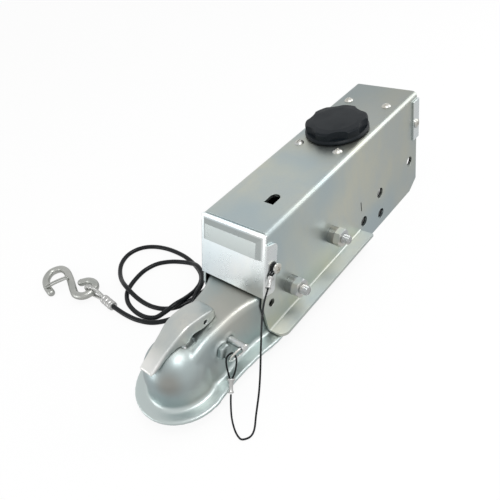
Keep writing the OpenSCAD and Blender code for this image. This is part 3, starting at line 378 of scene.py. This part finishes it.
# The point at which the two lengths meet, counted from the first
lanyard_turn = 11
lanyard_steps = 8
lanyard_path = smooth_route(lanyard_points, lanyard_steps, 1)
upper_path = lanyard_path[:lanyard_turn * lanyard_steps + 1]
lower_path = lanyard_path[lanyard_turn * lanyard_steps:]
upper_lanyard = make("lanyard_upper_run", tube(upper_path, LANYARD_R), cable_coat.material)
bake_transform(upper_lanyard)
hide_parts("lanyard")
lower_lanyard = make("lanyard_lower_run", tube(lower_path, LANYARD_R), cable_coat.material)
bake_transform(lower_lanyard)
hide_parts("lanyard")

# Lanyard eyes
# Each end of the wire is looped back into a silver ferrule with flared ends. The lower eye passes
# round the wire of the pin's ring.
def ferrule(start, end, wide, narrow, side):
    # Places along the ferrule from 0 to 1, each with its size as a share of the barrel's
    profile = [
        (0, 0.78), (0, 1.32), (0.05, 1.42), (0.13, 1.3), (0.2, 1.0), (0.5, 0.94), (0.78, 0.98), (0.88, 1.2),
        (0.95, 1.34), (1, 1.26), (1, 0.5)]
    path = [Vector(start).lerp(Vector(end), t) * MM for t, scale in profile]
    direction = (Vector(end) - Vector(start)).normalized()
    across = Vector(side) - direction * direction.dot(Vector(side))
    across.normalize()
    up = direction.cross(across)
    frames = [(centre, direction, across, up) for centre in path]

    def outline(i):
        t, scale = profile[i]
        broad = (wide + (narrow - wide) * min(1, t * 2.5)) * MM * scale
        return [(u * broad, v * narrow * MM * scale) for u, v in circle(1, 28)]

    return skin(frames, outline)


upper_hole = Vector((68.65, 46.5, 98.5))
upper_eye_points = [upper_hole + Vector((12.5, 1.2, -2.7)), upper_hole + Vector((9.2, 0.3, -1.6))]
upper_eye_r = 4.3
for i in range(11):
    turn = math.radians(40 + 24.4 * i)
    upper_eye_points.append(upper_hole + upper_eye_r * Vector((math.cos(turn), 0, math.sin(turn))))
upper_eye_points += [upper_hole + Vector((8.6, 0.3, -4.3)), upper_hole + Vector((11.7, 1, -5.2))]
upper_loop_shape = tube(smooth_route(upper_eye_points, 5), LANYARD_R)
upper_strand = make("lanyard_upper_loop", upper_loop_shape, cable_coat.material)
put(upper_strand, "case", "cable_coat", "lanyard_upper_eye")
upper_ferrule_shape = ferrule((79.25, 47.9, 95), (90.1, 52.2, 91.9), 2.6, 2.2, (0, 0, 1))
upper_ferrule = make("lanyard_upper_ferrule", upper_ferrule_shape, sleeve_metal.material)
put(upper_ferrule, "case", "wire_rope", "lanyard_upper_eye")

lower_eye_points = [
    (163.2, 47.7, 29.2), (160.4, 44.6, 33.8), (157, 40.9, 39.3), (153.6, 39, 43.6), (150.4, 39.1, 45.9),
    (146.5, 41.1, 46.9), (145.9, 44, 44.8), (147.6, 46.5, 41.2), (151.5, 48.1, 36.7), (156.4, 49.3, 32.6),
    (161.8, 50, 30)]
lower_loop_shape = tube(smooth_route(lower_eye_points, 7), LANYARD_R)
lower_strand = make("lanyard_lower_loop", lower_loop_shape, cable_coat.material)
put(lower_strand, "pin", "cable_coat", "lanyard_lower_eye")
lower_ferrule_shape = ferrule((162.3, 48.9, 30.1), (171.4, 53.8, 20.9), 3.3, 2.2, (-0.63, 0.75, -0.2))
lower_ferrule = make("lanyard_lower_ferrule", lower_ferrule_shape, sleeve_metal.material)
put(lower_ferrule, "pin", "wire_rope", "lanyard_lower_eye")

# Zinc plate
# Sheet steel, folded or pressed and then zinc plated: a cool satin grey with cloudy warm and bluish
# patches, fine rolling marks and edges that catch the light.
def zinc(name, tone, warm, cool, roughness, cloud=18, grain=0.00001, edge=0.0006):
    finish = Finish(name, Metallic=1.0)
    cloudy = finish.noise(cloud, 4, finish.stretched((1.3, 1.3, 0.7)), 0.6).step(0.36, 0.64)
    patches = finish.noise(cloud * 0.4, 2).step(0.38, 0.64)
    speckle = finish.noise(1100, 2).step(0.45, 0.8)
    body = finish.blend(cloudy, tone, warm)
    body = finish.blend(patches * 0.8, body, cool)
    finish.feed("Base Color", finish.blend(speckle * 0.12, body, rgb(0.34, 0.36, 0.35)))
    rolled = finish.noise(70, 2, finish.stretched((0.3, 4, 4)))
    finish.feed("Roughness", rolled * 0.07 + cloudy * 0.06 + (roughness - 0.06))
    rounded = finish.node("ShaderNodeBevel", {"samples": 6}, {"Radius": edge})
    finish.bump(rolled + cloudy * 0.6, grain, 1.0, rounded)
    return finish


case_finish = zinc("case_zinc", rgb(0.56, 0.6, 0.57), rgb(0.63, 0.64, 0.55), rgb(0.44, 0.54, 0.58), 0.37)
case_zinc = case_finish.material
head_finish = zinc(
    "head_zinc", rgb(0.46, 0.51, 0.495), rgb(0.52, 0.52, 0.475), rgb(0.39, 0.48, 0.5), 0.38, 14)
head_zinc = head_finish.material
cover_finish = zinc(
    "cover_zinc", rgb(0.8, 0.83, 0.83), rgb(0.84, 0.85, 0.82), rgb(0.68, 0.78, 0.82), 0.3, 22, 0.000006)
cover_zinc = cover_finish.material


def dress(material, *nodes):
    for node in nodes:
        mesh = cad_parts[node].data
        mesh.materials.clear()
        mesh.materials.append(material)


def axis(finish, index):
    # 0 is how far forward a point lies, 1 how far to the left and 2 how high, all in metres
    return finish.node("ShaderNodeSeparateXYZ", {}, {0: finish.place}, index)


def shade(finish, mask, colour):
    # Lays a colour over what the finish has so far, where the mask is high
    body = Channel(finish, finish.shader.inputs["Base Color"].links[0].from_socket)
    finish.feed("Base Color", finish.blend(mask, body, colour))


# Painted shade: the case is painted darker towards the tongue, its top most
rear_painted_shade = 1 - axis(case_finish, 0).step(-0.24, 0.0)
case_top = axis(case_finish, 2).step(0.136, 0.138)
shade(case_finish, rear_painted_shade * (case_top * 0.3 + 0.3), rgb(0.24, 0.26, 0.25))
# Painted shade: the sheet's inside is painted dark, and so is the head's top under the cover
WALL_INSIDE = 0.039
ROOF_INSIDE = 0.1345
case_side = axis(case_finish, 1).maths("ABSOLUTE")
inside_shade = 1 - case_side.step(WALL_INSIDE + 0.0005, WALL_INSIDE + 0.0015)
inside_shade = inside_shade * (1 - axis(case_finish, 2).step(ROOF_INSIDE, ROOF_INSIDE + 0.001))
shade(case_finish, inside_shade, rgb(0.05, 0.055, 0.055))
COVER_EDGE = 0.09
# Painted shade on the head's top, just behind the cover's lower edge
under_cover_shade = 1 - axis(head_finish, 0).step(COVER_EDGE - 0.001, COVER_EDGE + 0.0045)
under_cover_shade = under_cover_shade * axis(head_finish, 2).step(0.055, 0.066)
shade(head_finish, under_cover_shade, rgb(0.03, 0.035, 0.035))
# Painted light: a brighter flange, darker walls above it and a brown reflection on the socket's front
side_painted_shade = axis(head_finish, 1).maths("ABSOLUTE").step(0.026, 0.036)
shade(head_finish, side_painted_shade * (1 - axis(head_finish, 0).step(0.14, 0.175)) * 0.5, rgb(0.27, 0.34, 0.34))
HEAD_FLANGE_TOP = 0.0215
# Painted highlight: the flange is painted lighter
flange_painted_light = 1 - axis(head_finish, 2).step(HEAD_FLANGE_TOP + 0.0003, HEAD_FLANGE_TOP + 0.0045)
shade(head_finish, flange_painted_light, rgb(0.6, 0.67, 0.66))
# Painted reflection: a brown spot on the socket's front
painted_reflection_at = {0: head_finish.place, 1: (0.2095, 0.0185, 0.0545)}
painted_reflection = head_finish.node("ShaderNodeVectorMath", {"operation": "DISTANCE"}, painted_reflection_at, 1)
shade(head_finish, (1 - painted_reflection.step(0.003, 0.02)) * 0.6, rgb(0.27, 0.23, 0.19))
# The drawn panel stands proud of the cover's raked face and is painted a little darker, a painted shade
COVER_RAKE = math.atan(0.37)
COVER_FACE = 0.1118
proud = axis(cover_finish, 0) * math.cos(COVER_RAKE) + axis(cover_finish, 2) * math.sin(COVER_RAKE)
panel_painted_shade = proud.step(COVER_FACE + 0.0004, COVER_FACE + 0.0018)
shade(cover_finish, panel_painted_shade * 0.85, rgb(0.4, 0.44, 0.43))
# The side flanges droop a little, so they mirror the sky and not the wall above them
droop = case_side.maths("MAXIMUM", 0.046) * -0.3
case_bump = case_finish.shader.inputs["Normal"].links[0].from_node
case_finish.bump(droop, 1.0, 1.0, Channel(case_finish, case_bump.outputs[0]))
dress(case_zinc, "outer_case", "breakaway_lever", "rod_bracket")
dress(head_zinc, "slide_channel", "ball_clamp")
dress(cover_zinc, "front_cover", "rear_cover")

# Coupler head
# Pressed in one piece, so its edges and the run from the waist into the ball socket are soft. The
# sheet is evened to small facets and smoothed, most of all where the body's sides meet the dome.
BALL = Vector((0.18535, 0, 0.0395))


def evened(name, node, voxel, passes, material):
    made = bpy.data.objects.new(name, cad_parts[node].data.copy())
    bpy.context.scene.collection.objects.link(made)
    grid = made.modifiers.new("even", "REMESH")
    grid.mode = "VOXEL"
    grid.voxel_size = voxel
    ease = made.modifiers.new("ease", "SMOOTH")
    ease.factor = 0.5
    ease.iterations = passes
    settle(made)
    made.data.materials.clear()
    made.data.materials.append(material)
    return made


def settle(made):
    # The object takes its mesh as the modifiers leave it
    mesh = bpy.data.meshes.new_from_object(made.evaluated_get(bpy.context.evaluated_depsgraph_get()))
    made.modifiers.clear()
    made.data = mesh
    mesh.shade_smooth()


def ramp(value, low, high):
    t = max(0.0, min(1.0, (value - low) / (high - low)))
    return t * t * (3 - 2 * t)


def join_weight(place):
    # High on the outside of the seam between the body's side and the dome, and none elsewhere
    x, y, z = place.x - BALL.x, abs(place.y), place.z
    along = ramp(x, -0.052, -0.03) * (1 - ramp(x, 0.018, 0.034))
    height = ramp(z, 0.0255, 0.031) * (1 - ramp(z, 0.06, 0.072))
    outside = ramp((place - BALL).length, 0.0318, 0.0328) * ramp(y, 0.016, 0.022)
    return along * height * outside


head = evened("coupler_head_shell", "coupler_head", 0.0013, 5, head_zinc)
seam = head.vertex_groups.new(name="seam")
for vertex in head.data.vertices:
    weight = join_weight(vertex.co)
    if weight > 0:
        seam.add([vertex.index], weight, "REPLACE")
blur = head.modifiers.new("blend", "SMOOTH")
blur.vertex_group = "seam"
blur.factor = 0.5
blur.iterations = 14
settle(head)
put(head, "coupler", "zinc_sheet", "coupler_head")

# Handle
# A casting with a broad flat top and softly rounded edges, plated like the head and a little brighter.
# Its tip is painted bright, a painted highlight.
handle_finish = zinc(
    "handle_zinc", rgb(0.6, 0.62, 0.6), rgb(0.68, 0.68, 0.63), rgb(0.58, 0.62, 0.61), 0.38, 60, 0.00002)
# Painted highlight: the tip is painted near white
shade(handle_finish, axis(handle_finish, 0).step(0.188, 0.214) * 0.8, rgb(0.96, 0.96, 0.94))
handle = evened("latch_handle", "lever", 0.0008, 3, handle_finish.material)
put(handle, "handle", "cast_handle", "lever")

# Fasteners
# Screws, nuts and pins are small steel parts with a brighter zinc plate and a slight yellow cast. The
# spacing washers behind the nuts are painted dark as shade, and the safety pin and spring are bright wire.
fastener_zinc = zinc(
    "fastener_zinc", rgb(0.62, 0.62, 0.59), rgb(0.66, 0.64, 0.58), rgb(0.55, 0.58, 0.6), 0.34,
    120, 0.000006, 0.0004).material
dress(fastener_zinc, "front_cover_screws", "rear_cover_screws", "top_screws", "front_axle_nuts",
      "rear_axle_nuts", "latch_nut", "breakaway_pivot", "lever_pin", "cable_stop")
dress(head_zinc, "latch_bolt")
# Painted shade: the washers are painted dark for the shadow behind the nuts
washer_shade_steel = zinc(
    "washer_shade_steel", rgb(0.25, 0.26, 0.25), rgb(0.3, 0.29, 0.26), rgb(0.22, 0.24, 0.25), 0.42,
    120, 0.000006, 0.0004).material
dress(washer_shade_steel, "axle_washers")
bright_wire = zinc(
    "bright_wire", rgb(0.74, 0.74, 0.72), rgb(0.78, 0.76, 0.7), rgb(0.66, 0.7, 0.72), 0.22,
    160, 0.000004, 0.0002).material
dress(bright_wire, "safety_pin", "pin_ring", "retaining_ring", "clamp_spring")

# Axle studs
# The plain middle of each axle carries a roller, and both ends are threaded for the nuts. One half
# is made once and set four times.
axle_steel = zinc(
    "axle_steel", rgb(0.56, 0.56, 0.53), rgb(0.6, 0.57, 0.5), rgb(0.5, 0.53, 0.54), 0.25,
    90, 0.000004, 0.0001).material
STUD_R = 6.0
THREAD_START = 42.8
THREAD_R = 5.48
THREAD_DEPTH = 0.8
TIP_R = 4.3
STUD_END = 67.0
PITCH = 1.8
SIDES = 40
FRONT_AXLE_AT = (0.05035, 0, 0.0585)
REAR_AXLE_AT = (-0.03015, 0, 0.0645)


def stud_rings():
    # Each ring's place along the stud, with its radius at a given turn, in millimetres
    yield 0.0, lambda turn: STUD_R
    yield THREAD_START - 0.4, lambda turn: STUD_R
    yield THREAD_START, lambda turn: STUD_R - 0.4
    y = THREAD_START
    while y < STUD_END - 0.01:
        y = min(y + PITCH / 8, STUD_END)

        def radius(turn, y=y):
            phase = (y / PITCH - turn) % 1.0
            tooth = 1 - abs(2 * phase - 1)
            crest = THREAD_R - THREAD_DEPTH * min(1, max(0, 1.25 * tooth - 0.12))
            return min(crest, TIP_R + STUD_END - y)

        yield y, radius


def half_axle():
    points, faces = [], []
    rings = list(stud_rings())
    for y, radius in rings:
        for k in range(SIDES):
            turn = k / SIDES
            angle = 2 * math.pi * turn
            r = radius(turn)
            points.append(Vector((r * math.cos(angle), y, r * math.sin(angle))) * MM)
    for i in range(len(rings) - 1):
        for k in range(SIDES):
            a, b = i * SIDES + k, i * SIDES + (k + 1) % SIDES
            faces.append((b, a, a + SIDES, b + SIDES))
    faces.append(tuple(reversed(range((len(rings) - 1) * SIDES, len(rings) * SIDES))))
    return points, faces


def set_copies(name, source, places, material):
    # Geometry Nodes sets one copy of the source on each place, turned about Z by its own angle
    seats = bpy.data.meshes.new(name)
    seats.from_pydata([place for place, angle in places], [], [])
    turns = seats.attributes.new("turn", "FLOAT_VECTOR", "POINT")
    for i, (place, angle) in enumerate(places):
        turns.data[i].vector = (0, 0, angle)
    made = bpy.data.objects.new(name, seats)
    bpy.context.scene.collection.objects.link(made)
    group = bpy.data.node_groups.new(name + "_copies", "GeometryNodeTree")
    group.interface.new_socket("Geometry", in_out="INPUT", socket_type="NodeSocketGeometry")
    group.interface.new_socket("Geometry", in_out="OUTPUT", socket_type="NodeSocketGeometry")
    given = group.nodes.new("NodeGroupInput")
    result = group.nodes.new("NodeGroupOutput")
    part = group.nodes.new("GeometryNodeObjectInfo")
    part.inputs["Object"].default_value = source
    turn = group.nodes.new("GeometryNodeInputNamedAttribute")
    turn.data_type = "FLOAT_VECTOR"
    turn.inputs["Name"].default_value = "turn"
    copies = group.nodes.new("GeometryNodeInstanceOnPoints")
    real = group.nodes.new("GeometryNodeRealizeInstances")
    paint = group.nodes.new("GeometryNodeSetMaterial")
    paint.inputs["Material"].default_value = material
    link = group.links.new
    link(given.outputs[0], copies.inputs["Points"])
    link(part.outputs["Geometry"], copies.inputs["Instance"])
    link(turn.outputs[0], copies.inputs["Rotation"])
    link(copies.outputs[0], real.inputs[0])
    link(real.outputs[0], paint.inputs[0])
    link(paint.outputs[0], result.inputs[0])
    nodes = made.modifiers.new("copies", "NODES")
    nodes.node_group = group
    bpy.context.view_layer.update()
    settle(made)
    bpy.data.objects.remove(source)
    return made


stud = make("axle_half", half_axle(), axle_steel)
stud_places = [(at, angle) for at in (FRONT_AXLE_AT, REAR_AXLE_AT) for angle in (0, math.pi)]
studs = set_copies("axle_studs", stud, stud_places, axle_steel)
put(studs, "case", "fastener_zinc", "front_axle", "rear_axle")

# Inside
# The cast aluminium reservoir and cylinder, the brass piston, the rubber cup and seals, and the
# turned steel rollers and push rod.
cast_body = Finish("cast_body", Metallic=1.0)
cast_grain = cast_body.noise(700, 4, roughness=0.65)
cast_body.feed("Base Color", cast_body.blend(cast_grain, rgb(0.5, 0.51, 0.52), rgb(0.62, 0.63, 0.63)))
cast_body.feed("Roughness", cast_grain * 0.2 + 0.4)
cast_body.bump(cast_grain, 0.00012, 0.8)
dress(cast_body.material, "reservoir_body")

turned_brass = Finish("turned_brass", Metallic=1.0)
lathe_lines = turned_brass.noise(60, 2, turned_brass.stretched((40, 1, 1)))
turned_brass.feed("Base Color", turned_brass.blend(lathe_lines, rgb(0.62, 0.47, 0.22), rgb(0.74, 0.6, 0.33)))
turned_brass.feed("Roughness", lathe_lines * 0.15 + 0.2)
turned_brass.bump(lathe_lines, 0.00001, 0.6)
dress(turned_brass.material, "master_piston")

turned_steel = Finish("turned_steel", Metallic=1.0)
steel_lines = turned_steel.noise(50, 2, turned_steel.stretched((1, 40, 1)))
turned_steel.feed("Base Color", turned_steel.blend(steel_lines, rgb(0.44, 0.44, 0.43), rgb(0.56, 0.56, 0.55)))
turned_steel.feed("Roughness", steel_lines * 0.16 + 0.24)
turned_steel.bump(steel_lines, 0.00001, 0.6)
dress(turned_steel.material, "front_roller", "rear_roller", "push_rod")

rubber = Finish("rubber", Specular_IOR_Level=0.25)
rubber_bloom = rubber.noise(140, 4)
rubber.feed("Base Color", rubber.blend(rubber_bloom, rgb(0.014, 0.014, 0.014), rgb(0.035, 0.035, 0.034)))
rubber.feed("Roughness", rubber_bloom * 0.2 + 0.6)
rubber.bump(rubber.noise(1200, 2), 0.00003, 0.5)
dress(rubber.material, "cable_grommet", "filler_seal", "piston_cup")

# Filler cap
# A moulded black plastic cap with finger recesses, satin, with a fine spark texture.
cap_plastic = Finish("cap_plastic", Specular_IOR_Level=0.2)
cap_grain = cap_plastic.noise(900, 2)
cap_wear = cap_plastic.noise(45, 4).step(0.42, 0.7)
cap_black = cap_plastic.blend(cap_grain, rgb(0.003, 0.005, 0.007), rgb(0.008, 0.012, 0.016))
cap_plastic.feed("Base Color", cap_black)
cap_plastic.feed("Roughness", cap_wear * 0.1 + 0.38)
cap_plastic.bump(cap_grain, 0.00004, 0.6)
dress(cap_plastic.material, "filler_cap")

# Floor and light
# A plain white floor in a white room. Plated sheet takes its tone from what it mirrors, so the
# floor is bright ahead of the nose and dull under the case. Softboxes give the broad highlights.
floor_mesh = bpy.data.meshes.new("floor")
FLOOR_REACH = 9
floor_corners = [(x * FLOOR_REACH, y * FLOOR_REACH, 0) for x, y in ((-1, -1), (1, -1), (1, 1), (-1, 1))]
floor_mesh.from_pydata(floor_corners, [], [(0, 1, 2, 3)])
floor = bpy.data.objects.new("floor", floor_mesh)
bpy.context.scene.collection.objects.link(floor)
floor_finish = Finish("floor", Roughness=0.9)
floor_finish.shader.inputs["Base Color"].default_value = rgb(0.9, 0.9, 0.9)
forward, sideways = axis(floor_finish, 0), axis(floor_finish, 1)
# The floor under the case and behind it doesn't glow, so nothing white shows through the holes
outside = sideways.maths("ABSOLUTE").step(0.036, 0.044).maths("MAXIMUM", forward.step(0.075, 0.105))
outside = outside.maths("MAXIMUM", 1 - forward.step(-0.21, -0.19))
ahead = forward.step(0.3, 1.1)
rays = floor_finish.tree.nodes.new("ShaderNodeLightPath")
seen = Channel(floor_finish, rays.outputs["Is Camera Ray"])
mirrored = Channel(floor_finish, rays.outputs["Is Glossy Ray"])
level = seen.maths("MAXIMUM", ahead * 0.36 + 0.66)
glow = floor_finish.tree.nodes.new("ShaderNodeEmission")
floor_finish.tree.links.new((level * outside).socket, glow.inputs["Color"])
mixed = floor_finish.tree.nodes.new("ShaderNodeMixShader")
floor_finish.tree.links.new((seen * outside * 0.9 + mirrored).socket, mixed.inputs[0])
floor_finish.tree.links.new(floor_finish.shader.outputs[0], mixed.inputs[1])
floor_finish.tree.links.new(glow.outputs[0], mixed.inputs[2])
floor_finish.tree.links.new(mixed.outputs[0], floor_finish.tree.nodes["Material Output"].inputs[0])
floor_mesh.materials.append(floor_finish.material)

world = bpy.data.worlds.new("room")
bpy.context.scene.world = world
world.use_nodes = True
sky = world.node_tree
background = sky.nodes["Background"]
ray_kind = sky.nodes.new("ShaderNodeLightPath")
direction = sky.nodes.new("ShaderNodeTexCoord")
split = sky.nodes.new("ShaderNodeSeparateXYZ")
height = sky.nodes.new("ShaderNodeMapRange")
height.inputs["From Min"].default_value = 0.05
height.inputs["From Max"].default_value = 0.75
height.inputs["To Min"].default_value = 0.9
height.inputs["To Max"].default_value = 0.75
background.inputs["Color"].default_value = (1, 1, 1, 1)
sky.links.new(direction.outputs["Generated"], split.inputs[0])
sky.links.new(split.outputs["Z"], height.inputs[0])
choice = sky.nodes.new("ShaderNodeMix")
sky.links.new(ray_kind.outputs["Is Camera Ray"], choice.inputs[0])
sky.links.new(height.outputs[0], choice.inputs[2])
choice.inputs[3].default_value = 1.0
sky.links.new(choice.outputs[0], background.inputs["Strength"])


def softbox(name, place, size, watts, aim):
    lamp = bpy.data.lights.new(name, "AREA")
    lamp.shape = "RECTANGLE"
    lamp.size, lamp.size_y = size
    lamp.energy = watts
    made = bpy.data.objects.new(name, lamp)
    made.location = place
    made.rotation_euler = (Vector(aim) - Vector(place)).to_track_quat("-Z", "Y").to_euler()
    bpy.context.scene.collection.objects.link(made)


softbox("overhead", (0.1, 0.5, 1.3), (0.7, 0.5), 6, (0.18, 0, 0.06))
softbox("back_left", (-1.0, 0.66, 0.62), (0.7, 1.0), 4.2, (0, 0.04, 0.13))
softbox("front_right", (1.0, -0.6, 0.22), (0.45, 0.5), 1.4, (0.2, 0, 0.06))
